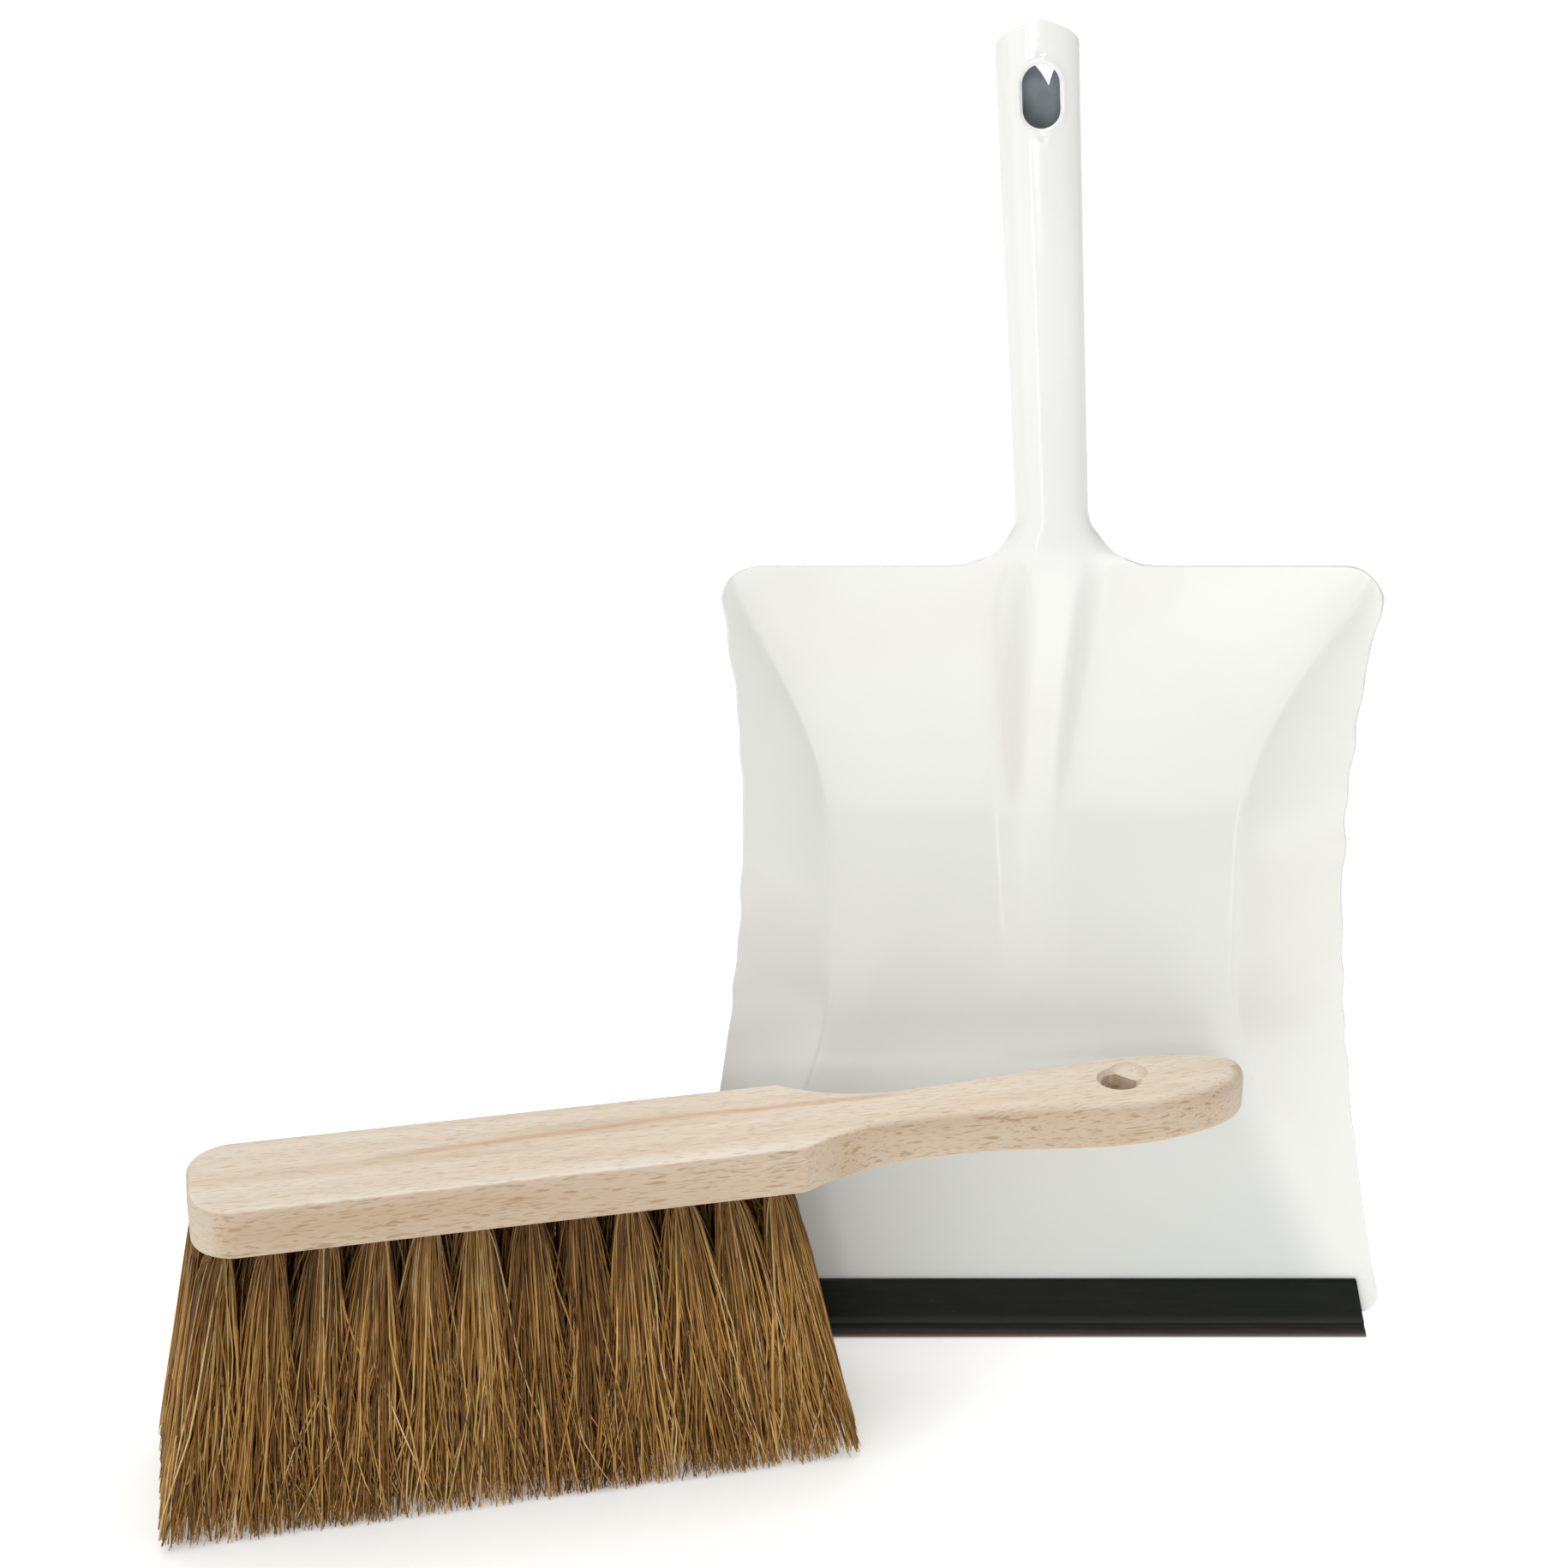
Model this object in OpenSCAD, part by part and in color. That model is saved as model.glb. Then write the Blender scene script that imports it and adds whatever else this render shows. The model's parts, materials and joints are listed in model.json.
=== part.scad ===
// Dust pan with a rubber lip, leaning on that lip, and a fibre hand brush standing on its bristles.
// Origin: centre of the footprint, +Z up, -Y towards the open face of the pan. Millimetres.

/* [Pan tray] */
// Half width of the rim at the two back corners
back_half = 101.4; // [96:0.2:108]
// Half width of the rim at its waist
waist_half = 95.2; // [90:0.2:98]
// Half width that the rim would reach level with the bottom of the lip
front_half = 123.5; // [118:0.5:126]
// Distance of the waist from the bottom of the lip, along the floor of the pan
waist_b = 185; // [150:1:210]
// Distance of the back edge from the bottom of the lip, along the floor of the pan
back_b = 266; // [255:1:290]
// Height of the rim over the floor at the back edge
rim_h = 42; // [34:1:46]
// Half width of the flat floor at the waist
floor_half = 66; // [60:1:72]
// Thickness of the pressed sheet
sheet_t = 0.8; // [0.6:0.1:1.2]
// Height of the stiffening ridge over the back edge
ridge_h = 8; // [5:0.5:9]
// Angle at which the whole pan leans back
pan_lean = 12; // [9:0.5:14]

/* [Pan handle] */
// Width of the rolled handle
handle_w = 23.5; // [20:0.5:26]
// Depth of the rolled handle
handle_d = 17; // [14:0.5:18]
// Length of the handle above the back edge
handle_len = 161; // [140:1:180]
// Sideways bend of the handle against the tray, in degrees
handle_bend = 2; // [0:0.1:3]
// Width of the hanging slot
slot_w = 11.2; // [9:0.2:13]
// Length of the hanging slot
slot_len = 18.5; // [15:0.5:22]

/* [Lip] */
// Half width of the rubber lip along its bottom edge
lip_half = 113; // [108:0.5:114]
// Height of the rubber lip along the floor of the pan
lip_h = 20; // [17:0.5:21]
// Thickness of the lip at its bead
lip_t = 6; // [5:0.2:7]

/* [Brush block] */
// Length of the bristled head
head_len = 184; // [170:1:200]
// Width of the bristled head
head_w = 42; // [40:0.5:46]
// Thickness of the beech block
block_t = 16; // [15:0.5:18]
// Length of the handle beyond the head
grip_len = 150; // [140:1:165]
// Half width of the handle at its neck
neck_half = 10; // [9:0.5:12]
// Half width of the handle at its widest
grip_half = 16.5; // [15:0.5:18]
// Radius of the hanging hole
hole_r = 5.7; // [4.5:0.1:6.2]
// Angle of the brush against the lip of the pan
brush_turn = 12.5; // [10:0.5:14]

/* [Bristles] */
// Free length of the bristles
bristle_h = 93; // [70:1:100]
// Rows of tufts across the head
rows = 4; // [4:1:4]
// Tufts in each row
tufts = 12; // [12:1:12]
// Radius of a tuft at its root
tuft_r = 3.5; // [3:0.1:3.6]
// How far the tips spread beyond each end of the head
end_flare = 13; // [8:0.5:14]
// How far the tips spread beyond each side of the head
side_flare = 9; // [6:0.5:10]

/* [Hidden] */
$fn = 48;
PAN_X = 79;
PAN_Y = 29;
BRUSH_X = -181;
BRUSH_Y = -53;

// Tray: corner arcs, wall and floor lines, and the grid that the sheet is computed on.
CORNER_W = 12.4;
CORNER_H = 10;
CORNER_B = back_b - CORNER_H;
TRAY_FRONT = 8;
WALL_START = 22;
BACK_RISE = 76;
RIDGE_START = 125;
RIDGE_HALF = 22;
GRID_V = 22;
GRID_HALF = 18;

// Handle: the tube starts just above the sheet that it grows out of.
TUBE_T = 1;
TUBE_START = back_b + 0.8;
TUBE_N = rim_h + ridge_h - handle_d / 2;
TIP_R = 14;
SLOT_DROP = 22;
WING_H = 14;

// Brush: bores for the tufts, and the anchors that hold them.
BORE_GAP = 0.2;
BORE_DEPTH = 10;
ROOT_DEPTH = 8;
ANCHOR_R = 0.45;
ANCHOR_LEN = 6.4;
TUFT_U0 = 8;
TUFT_PITCH = (head_len - 2 * TUFT_U0) / (tufts - 1);
ROW_PITCH = 10;
CELL_GAP = 0.3;
HOLE_U = head_len + 107;
COUNTERSINK = 1.5;

function tuft_name(row, i) = str("tuft_row", row + 1, "_", i < 9 ? "0" : "", i + 1);
TUFT_NAMES = [for (row = [0:rows - 1]) for (i = [0:tufts - 1]) tuft_name(row, i)];

function mix(a, b, t) = a + (b - a) * t;
function clamp01(t) = min(1, max(0, t));
function smooth(t) = t * t * (3 - 2 * t);

// ---- the pressed sheet, as a height over the floor plane at a (across) and b (up the floor)

function rim_half(b) =
    b < waist_b
    ? waist_half + (front_half - waist_half) * pow((waist_b - b) / waist_b, 1.8)
    : waist_half + (back_half - waist_half) * pow(min(1, (b - waist_b) / (CORNER_B - waist_b)), 2);

function rim_height(b) = rim_h * pow(clamp01((b - WALL_START) / (CORNER_B - WALL_START)), 0.9);

// Half width of the flat floor: narrow at the waist, nearly the whole width at the front.
function floor_line(b) =
    b < RIDGE_START
    ? floor_half + (front_half - 3 - floor_half) * pow((RIDGE_START - b) / RIDGE_START, 1.5)
    : floor_half + 20 * pow(max(0, b - waist_b) / (back_b - waist_b), 1.5);

// A wall profile from 0 to 1 with a rounded foot.
function wall_curve(x) = x <= 0 ? 0 : (sqrt(x * x + 0.0225) - 0.15) / 0.861;

function side_height(a, b) =
    rim_height(b) * wall_curve((abs(a) - floor_line(b)) / (rim_half(b) - floor_line(b)));

function back_height(b) = rim_h * pow(clamp01((b - back_b + BACK_RISE) / BACK_RISE), 1.7);

function ridge_half_at(b) = mix(8, RIDGE_HALF, clamp01((b - RIDGE_START) / (back_b - RIDGE_START)));

function ridge_height(a, b) =
    abs(a) >= ridge_half_at(b)
    ? 0
    : ridge_h * smooth(clamp01((b - RIDGE_START) / (back_b - RIDGE_START)))
      * pow(1 - pow(a / ridge_half_at(b), 2), 2);

function sheet_height(a, b) =
    pow(pow(side_height(a, b), 8) + pow(back_height(b), 8), 1 / 8) + ridge_height(a, b);

// Back edge at a share u of the half width, with rounded corners.
CORNER_U = 1 - CORNER_W / back_half;
function edge_b(u) =
    abs(u) <= CORNER_U
    ? back_b
    : CORNER_B + CORNER_H * sqrt(max(0, 1 - pow((abs(u) - CORNER_U) / (1 - CORNER_U), 2)));

// Columns crowd at the ridge and at the rim.
GRID_U = [for (i = [-GRID_HALF:GRID_HALF]) let (s = i / GRID_HALF) s - 0.08 * sin(360 * s)];

function grid_point(u, v, drop) =
    let (b = mix(TRAY_FRONT, edge_b(u), v))
    let (a = u * rim_half(b))
    [a, -(sheet_height(a, b) - drop), b];

module pan_frame() {
    translate([PAN_X, PAN_Y, 0])
        rotate([-pan_lean, 0, 0])
            children();
}

NU = len(GRID_U);
NV = GRID_V + 1;
UNDER = NU * NV;

// The two triangles of a grid cell, on the face of the sheet and on its underside.
function face_pair(p) = [[p + NV + 1, p + NV, p], [p + 1, p + NV + 1, p]];
function under_pair(p) = [for (t = face_pair(p)) [UNDER + t[2], UNDER + t[1], UNDER + t[0]]];

// Two triangles that close the sheet's edge between points p and q of its face.
function edge_pair(p, q) = [[p, q, UNDER + q], [p, UNDER + q, UNDER + p]];

module pan_tray() {
    points = [for (drop = [0, sheet_t]) for (u = GRID_U) for (j = [0:GRID_V]) grid_point(u, j / GRID_V, drop)];
    cells = [for (i = [0:NU - 2]) for (j = [0:NV - 2]) i * NV + j];
    last = (NU - 1) * NV;
    faces = concat(
        [for (p = cells) for (t = face_pair(p)) t],
        [for (p = cells) for (t = under_pair(p)) t],
        [for (i = [0:NU - 2]) for (t = edge_pair(i * NV, (i + 1) * NV)) t],
        [for (i = [0:NU - 2]) for (t = edge_pair((i + 2) * NV - 1, (i + 1) * NV - 1)) t],
        [for (j = [0:NV - 2]) for (t = edge_pair(j + 1, j)) t],
        [for (j = [0:NV - 2]) for (t = edge_pair(last + j, last + j + 1)) t]
    );
    color("white")
        pan_frame()
            polyhedron(points = points, faces = faces, convexity = 6);
}

// Outline of the rolled tube: a rectangle with half-round sides.
module tube_outline(w, d) {
    square([w - d, d], center = true);
    for (side = [-1, 1])
        translate([side * (w - d) / 2, 0])
            circle(d = d);
}

// A tube with an arched end, running up from z = 0.
module arched_tube(w, d, len, arch_r) {
    intersection() {
        linear_extrude(len)
            tube_outline(w, d);
        union() {
            translate([-w, -d, 0])
                cube([2 * w, 2 * d, len - arch_r]);
            translate([0, 0, len - arch_r])
                rotate([90, 0, 0])
                    cylinder(r = arch_r, h = 2 * d, center = true);
        }
    }
}

// Curved fillets of sheet that widen the handle into the back edge.
module wings() {
    foot = RIDGE_HALF - handle_w / 2;
    rotate([90, 0, 0])
        linear_extrude(TUBE_T)
            for (side = [-1, 1])
                difference() {
                    translate([side > 0 ? 0 : -RIDGE_HALF, 0])
                        square([RIDGE_HALF, WING_H]);
                    translate([side * (RIDGE_HALF + 0.01), WING_H + 0.01])
                        scale([foot / WING_H, 1])
                            circle(r = WING_H);
                }
}

module pan_handle() {
    color("white")
        pan_frame()
            translate([0, -TUBE_N, TUBE_START])
                rotate([0, -handle_bend, 0]) {
                    difference() {
                        arched_tube(handle_w, handle_d, handle_len, TIP_R);
                        translate([0, 0, -1])
                            arched_tube(handle_w - 2 * TUBE_T, handle_d - 2 * TUBE_T, handle_len - TUBE_T + 1,
                                TIP_R - TUBE_T);
                        translate([0, 0, handle_len - SLOT_DROP])
                            rotate([90, 0, 0])
                                linear_extrude(handle_d)
                                    rotate(90)
                                        tube_outline(slot_len, slot_w);
                    }
                    difference() {
                        translate([0, TUBE_N - rim_h + TUBE_T, 0.2])
                            wings();
                        translate([0, 0, -1])
                            linear_extrude(WING_H + 2)
                                tube_outline(handle_w - 2 * TUBE_T, handle_d - 2 * TUBE_T);
                    }
                }
}

// Section of the lip: x is towards the back of the pan, y is up its floor. Its foot is cut level with the ground.
module lip_section() {
    gap = 0.1;
    front = lip_t / 2;
    back = lip_t / 2 + sheet_t;
    difference() {
        polygon([[-1.2, -1.2 * tan(pan_lean)], [back - 0.6, (back - 0.6) * tan(pan_lean)], [back, 3],
            [back - 0.8, 7], [2.6, lip_h - 1], [1.6, lip_h], [-1, lip_h], [-1.8, lip_h - 1.5],
            [-2.4, 9], [-front, 7.5], [-front, 5], [-2, 3.6]]);
        translate([-gap, TRAY_FRONT - gap])
            square([sheet_t + 2 * gap, lip_h]);
    }
}

module lip() {
    color([0.14, 0.15, 0.14])
        pan_frame()
            rotate([0, 0, 90])
                rotate([90, 0, 0])
                    linear_extrude(2 * lip_half, center = true)
                        lip_section();
}

// ---- the brush, along +X from the left end of its head, with its bristle tips at z = 0

module brush_frame() {
    translate([BRUSH_X, BRUSH_Y, 0])
        rotate(brush_turn)
            children();
}

END_R = 14;
NECK_U = 46;
WIDE_U = 114;

// Half width of the handle at a distance g from the head.
function grip_width(g) =
    g < NECK_U
    ? neck_half + 7 * pow(1 - g / NECK_U, 3)
    : g < WIDE_U
    ? mix(neck_half, grip_half, smooth((g - NECK_U) / (WIDE_U - NECK_U)))
    : grip_half * sqrt(max(0, 1 - pow((g - WIDE_U) / (grip_len - WIDE_U), 2.2)));

module grip_outline() {
    steps = 30;
    stations = [for (i = [0:steps]) grip_len * (1 - pow(1 - i / steps, 1.5))];
    polygon(concat(
        [[-2, -grip_width(0)]],
        [for (g = stations) [g, -grip_width(g)]],
        [for (i = [steps - 1:-1:0]) [stations[i], grip_width(stations[i])]],
        [[-2, grip_width(0)]]
    ));
}

module head_outline() {
    translate([END_R, -head_w / 2])
        square([head_len - END_R, head_w]);
    translate([0, END_R - head_w / 2])
        square([END_R, head_w - 2 * END_R]);
    for (side = [-1, 1])
        translate([END_R, side * (head_w / 2 - END_R)])
            circle(r = END_R);
}

function tuft_u(i) = TUFT_U0 + TUFT_PITCH * i;
function tuft_v(row) = ROW_PITCH * (row - (rows - 1) / 2);

module brush_block() {
    color([0.86, 0.78, 0.66])
        brush_frame()
            difference() {
                translate([0, 0, bristle_h])
                    union() {
                        linear_extrude(block_t)
                            head_outline();
                        translate([head_len, 0, 0])
                            linear_extrude(block_t)
                                grip_outline();
                    }
                for (row = [0:rows - 1])
                    for (i = [0:tufts - 1])
                        translate([tuft_u(i), tuft_v(row), bristle_h - 1])
                            cylinder(r = tuft_r + BORE_GAP, h = BORE_DEPTH + 1);
                translate([HOLE_U, 0, bristle_h - 1])
                    cylinder(r = hole_r, h = block_t + 2);
                translate([HOLE_U, 0, bristle_h + block_t - COUNTERSINK])
                    cylinder(r1 = hole_r, r2 = hole_r + COUNTERSINK + 0.1, h = COUNTERSINK + 0.1);
            }
}

module tuft_anchors() {
    color("silver")
        brush_frame()
            for (row = [0:rows - 1])
                for (i = [0:tufts - 1])
                    translate([tuft_u(i), tuft_v(row), bristle_h + ROOT_DEPTH + 3 * ANCHOR_R])
                        rotate([90, 0, 0])
                            cylinder(r = ANCHOR_R, h = ANCHOR_LEN, center = true, $fn = 16);
}

// One tuft: a round root in its bore, fanning out to its own share of the footprint.
module tuft(row, i) {
    cell_u = (head_len + 2 * end_flare) / tufts;
    cell_v = (head_w + 2 * side_flare) / rows;
    foot_u = cell_u * (i + 0.5) - end_flare;
    foot_v = cell_v * (row - (rows - 1) / 2);
    color([0.60, 0.43, 0.22])
        brush_frame() {
            translate([tuft_u(i), tuft_v(row), bristle_h - 0.5])
                cylinder(r = tuft_r, h = ROOT_DEPTH + 0.5);
            hull() {
                translate([tuft_u(i), tuft_v(row), bristle_h - 1])
                    cylinder(r = tuft_r, h = 0.5, $fn = 24);
                translate([foot_u, foot_v, 0.5])
                    cube([cell_u - CELL_GAP, cell_v - CELL_GAP, 1], center = true);
            }
        }
}

pan_tray();
pan_handle();
lip();
brush_block();
tuft_anchors();
for (row = [0:rows - 1])
    for (i = [0:tufts - 1])
        tuft(row, i);
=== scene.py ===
"""Dust pan with a rubber lip and a coir hand brush in front of it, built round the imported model."""

import json
import math

import bpy
import numpy as np
from mathutils import Matrix, Vector


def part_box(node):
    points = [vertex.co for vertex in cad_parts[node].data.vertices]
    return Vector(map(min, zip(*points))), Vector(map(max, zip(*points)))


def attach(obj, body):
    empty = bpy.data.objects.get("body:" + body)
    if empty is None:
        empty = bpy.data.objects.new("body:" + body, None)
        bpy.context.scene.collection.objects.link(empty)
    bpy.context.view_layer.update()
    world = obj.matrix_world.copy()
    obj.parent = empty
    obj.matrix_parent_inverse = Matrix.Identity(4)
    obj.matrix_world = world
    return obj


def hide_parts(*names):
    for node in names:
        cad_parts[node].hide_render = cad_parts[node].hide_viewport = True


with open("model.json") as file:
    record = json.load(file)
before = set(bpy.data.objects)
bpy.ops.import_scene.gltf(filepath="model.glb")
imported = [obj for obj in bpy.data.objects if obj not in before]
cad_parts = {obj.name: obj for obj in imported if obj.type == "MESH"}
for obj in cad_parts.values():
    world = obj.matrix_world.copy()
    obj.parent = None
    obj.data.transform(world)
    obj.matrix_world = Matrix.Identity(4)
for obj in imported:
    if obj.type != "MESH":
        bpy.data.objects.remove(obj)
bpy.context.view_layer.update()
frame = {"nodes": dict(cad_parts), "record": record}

MM = 0.001
SEED = 41
mounts = {mount["name"]: Vector(mount["pos_m"]) for mount in frame["record"]["mounts"]}


# ---------------------------------------------------------------- frames of the two tools

PAN_LEAN = math.radians(12)
LIP_REST_BACK = 1.02 * MM
BRUSH_TURN = math.radians(12.5)
HOLE_U = 291

# Pan frame: X across, Y up the floor of the pan, Z out of it towards the viewer.
pan_origin = mounts["lip_rest"] - Vector((0, LIP_REST_BACK, 0))
lip_low, lip_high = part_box("lip")
pan_origin.x = (lip_low.x + lip_high.x) / 2
pan_place = Matrix.Translation(pan_origin) @ Matrix.Rotation(math.pi / 2 - PAN_LEAN, 4, "X")

# Brush frame: X along the head from its left end, Y away from the viewer, Z up from the bristle tips.
hole = mounts["brush_hanging_hole"]
brush_axis = Vector((math.cos(BRUSH_TURN), math.sin(BRUSH_TURN), 0))
brush_origin = Vector((hole.x, hole.y, 0)) - brush_axis * HOLE_U * MM
brush_place = Matrix.Translation(brush_origin) @ Matrix.Rotation(BRUSH_TURN, 4, "Z")


# ---------------------------------------------------------------- small helpers

def mix(a, b, t):
    return a + (b - a) * t


def clamp01(t):
    return np.clip(t, 0.0, 1.0)


def smooth(t):
    return t * t * (3 - 2 * t)


def waves(x, lengths, rng):
    """A sum of sines of the given wavelengths with seeded phases, about -1 to 1."""
    total = sum(np.sin(2 * np.pi * x / length + rng.uniform(0, 2 * np.pi)) for length in lengths)
    return total / math.sqrt(len(lengths))


def spline(points, per_span):
    """A smooth open curve through the points: a Catmull-Rom spline."""
    p = np.array(points, float)
    p = np.vstack([2 * p[0] - p[1], p, 2 * p[-1] - p[-2]])
    t = np.linspace(0, 1, per_span, endpoint=False)[:, None]
    spans = []
    for i in range(1, len(p) - 2):
        a, b, c, d = p[i - 1], p[i], p[i + 1], p[i + 2]
        spans.append(0.5 * (2 * b + (c - a) * t + (2 * a - 5 * b + 4 * c - d) * t ** 2
                            + (3 * b - a - 3 * c + d) * t ** 3))
    return np.vstack(spans + [p[-2:-1]])


def new_object(name, verts_mm, faces, place):
    """A mesh object from vertices in millimetres, in the frame that place maps to the CAD frame."""
    mesh = bpy.data.meshes.new(name)
    mesh.from_pydata((np.asarray(verts_mm) * MM).tolist(), [], [list(map(int, face)) for face in faces])
    mesh.transform(place)
    mesh.validate()
    mesh.update()
    obj = bpy.data.objects.new(name, mesh)
    bpy.context.scene.collection.objects.link(obj)
    return obj


def soften(obj, degrees):
    """Smooth shading, apart from edges sharper than the angle."""
    obj.data.shade_smooth()
    obj.data.set_sharp_from_angle(angle=math.radians(degrees))


def bake_modifiers(obj):
    """Replaces the object's mesh by the result of its modifiers."""
    depsgraph = bpy.context.evaluated_depsgraph_get()
    mesh = bpy.data.meshes.new_from_object(obj.evaluated_get(depsgraph))
    obj.modifiers.clear()
    obj.data = mesh
    mesh.name = obj.name


def finish_piece(obj, body, slot, *nodes):
    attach(obj, body)
    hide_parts(*nodes)


def grid_faces(rows, columns):
    """Quads of a grid whose points are numbered row by row, wound so that row x column faces the viewer."""
    j, i = np.meshgrid(np.arange(rows - 1), np.arange(columns - 1), indexing="ij")
    p = (j * columns + i).ravel()
    return np.stack([p, p + 1, p + columns + 1, p + columns], axis=1)


def loft_faces(rings, count):
    """Faces of a closed skin over rings of count points each, with a cap on the first and the last ring."""
    faces = []
    for j in range(rings - 1):
        for i in range(count):
            k = (i + 1) % count
            faces.append((j * count + i, j * count + k, (j + 1) * count + k, (j + 1) * count + i))
    faces.append(tuple(range(count))[::-1])
    faces.append(tuple(range((rings - 1) * count, rings * count)))
    return faces


# ---------------------------------------------------------------- materials

class Nodes:
    """A material, and short calls that add nodes to it."""

    def __init__(self, name, place=Matrix.Identity(4)):
        self.place = place
        self.material = bpy.data.materials.new(name)
        self.material.use_nodes = True
        self.tree = self.material.node_tree
        self.tree.nodes.clear()
        self.shader = self.tree.nodes.new("ShaderNodeBsdfPrincipled")
        output = self.tree.nodes.new("ShaderNodeOutputMaterial")
        self.tree.links.new(self.shader.outputs[0], output.inputs[0])

    def put(self, socket, value):
        if isinstance(value, bpy.types.NodeSocket):
            self.tree.links.new(value, socket)
        elif isinstance(value, tuple) and len(value) == 3 and socket.type == "RGBA":
            socket.default_value = (*value, 1)
        else:
            socket.default_value = value

    def set(self, **values):
        """Sets the shader's sockets, named with underscores for spaces."""
        for name, value in values.items():
            self.put(self.shader.inputs[name.replace("_", " ")], value)

    def in_place(self, output, location):
        """A coordinate of the object, turned into the tool's own frame."""
        node = self.tree.nodes.new("ShaderNodeMapping")
        node.vector_type = "TEXTURE"
        node.inputs["Location"].default_value = location
        node.inputs["Rotation"].default_value = self.place.to_euler()
        self.put(node.inputs["Vector"], self.tree.nodes.new("ShaderNodeTexCoord").outputs[output])
        return node.outputs[0]

    def coords(self):
        return self.in_place("Object", self.place.translation)

    def facing(self, axis):
        """How far the surface faces along an axis of the tool's frame, 0 to 1."""
        return self.math("ABSOLUTE", self.axis(self.in_place("Normal", (0, 0, 0)), axis))

    def axis(self, vector, axis):
        node = self.tree.nodes.new("ShaderNodeSeparateXYZ")
        self.put(node.inputs[0], vector)
        return node.outputs[axis]

    def attribute(self, name):
        node = self.tree.nodes.new("ShaderNodeAttribute")
        node.attribute_name = name
        return node.outputs["Fac"]

    def scaled(self, vector, scale, location=(0, 0, 0)):
        node = self.tree.nodes.new("ShaderNodeMapping")
        self.put(node.inputs["Vector"], vector)
        node.inputs["Scale"].default_value = scale
        node.inputs["Location"].default_value = location
        return node.outputs[0]

    def noise(self, vector, scale, detail=2.0, roughness=0.5, distortion=0.0):
        node = self.tree.nodes.new("ShaderNodeTexNoise")
        self.put(node.inputs["Vector"], vector)
        node.inputs["Scale"].default_value = scale
        node.inputs["Detail"].default_value = detail
        node.inputs["Roughness"].default_value = roughness
        node.inputs["Distortion"].default_value = distortion
        return node.outputs["Fac"]

    def cells(self, vector, scale):
        node = self.tree.nodes.new("ShaderNodeTexVoronoi")
        self.put(node.inputs["Vector"], vector)
        node.inputs["Scale"].default_value = scale
        return node.outputs["Color"]

    def math(self, operation, a, b=0.0):
        node = self.tree.nodes.new("ShaderNodeMath")
        node.operation = operation
        self.put(node.inputs[0], a)
        self.put(node.inputs[1], b)
        return node.outputs[0]

    def between(self, value, low, high, to_low=0.0, to_high=1.0):
        """Maps low..high of a value smoothly to to_low..to_high."""
        node = self.tree.nodes.new("ShaderNodeMapRange")
        node.interpolation_type = "SMOOTHSTEP"
        for socket, number in zip(node.inputs[1:5], (low, high, to_low, to_high)):
            socket.default_value = number
        self.put(node.inputs[0], value)
        return node.outputs[0]

    def blend(self, factor, a, b, kind="MIX"):
        node = self.tree.nodes.new("ShaderNodeMix")
        node.data_type = "RGBA"
        node.blend_type = kind
        self.put(node.inputs[0], factor)
        self.put(node.inputs[6], a)
        self.put(node.inputs[7], b)
        return node.outputs[2]

    def ramp(self, factor, stops):
        node = self.tree.nodes.new("ShaderNodeValToRGB")
        elements = node.color_ramp.elements
        while len(elements) < len(stops):
            elements.new(0.5)
        for element, (place, colour) in zip(elements, stops):
            element.position = place
            element.color = (*colour, 1)
        self.put(node.inputs[0], factor)
        return node.outputs[0]

    def bump(self, height, strength, distance, below=None):
        node = self.tree.nodes.new("ShaderNodeBump")
        node.inputs["Strength"].default_value = strength
        node.inputs["Distance"].default_value = distance
        self.put(node.inputs["Height"], height)
        if below is not None:
            self.put(node.inputs["Normal"], below)
        return node.outputs[0]


def enamel_material():
    """Glossy white enamel with a faint orange peel. The tray's floor has painted shade, darker towards the
    lip and kept off the side walls.
    """
    m = Nodes("enamel_white", pan_place)
    place = m.coords()
    cloud = m.noise(place, 14, 3)
    enamel_tone = m.ramp(cloud, [(0.3, (0.815, 0.82, 0.79)), (0.7, (0.85, 0.853, 0.825))])
    along = m.axis(place, 1)
    # Painted shade on the tray's floor: darker towards the lip, kept off the side walls, with a soft edge
    # that paints shade along the creases.
    beyond = m.math("ADD", m.math("ABSOLUTE", m.axis(place, 0)), m.math("MULTIPLY", along, 0.45))
    on_floor = m.between(beyond, 0.120, 0.098)
    painted_light_mask = m.math("MULTIPLY", m.between(along, 0.17, 0.02, 0.0, 1.0), on_floor)
    m.set(
        Base_Color=m.blend(painted_light_mask, enamel_tone, (0.655, 0.672, 0.645)),
        Roughness=m.between(m.noise(place, 60, 4), 0.3, 0.7, 0.09, 0.17),
        Specular_IOR_Level=0.5,
        Normal=m.bump(m.noise(place, 700, 2), 0.05, 0.0004, m.bump(m.noise(place, 26, 1), 0.25, 0.0012)),
    )
    return m.material


def cut_edge_material():
    """The thin edge of the sheet, in a darker grey that draws it as a thin line."""
    m = Nodes("enamel_edge", pan_place)
    place = m.coords()
    edge_mottle = m.noise(place, 120, 5, 0.65)
    m.set(
        Base_Color=m.ramp(edge_mottle, [(0.3, (0.64, 0.65, 0.63)), (0.7, (0.79, 0.80, 0.78))]),
        Roughness=m.between(edge_mottle, 0.3, 0.7, 0.35, 0.6),
        Normal=m.bump(edge_mottle, 0.2, 0.0003),
    )
    return m.material


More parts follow.
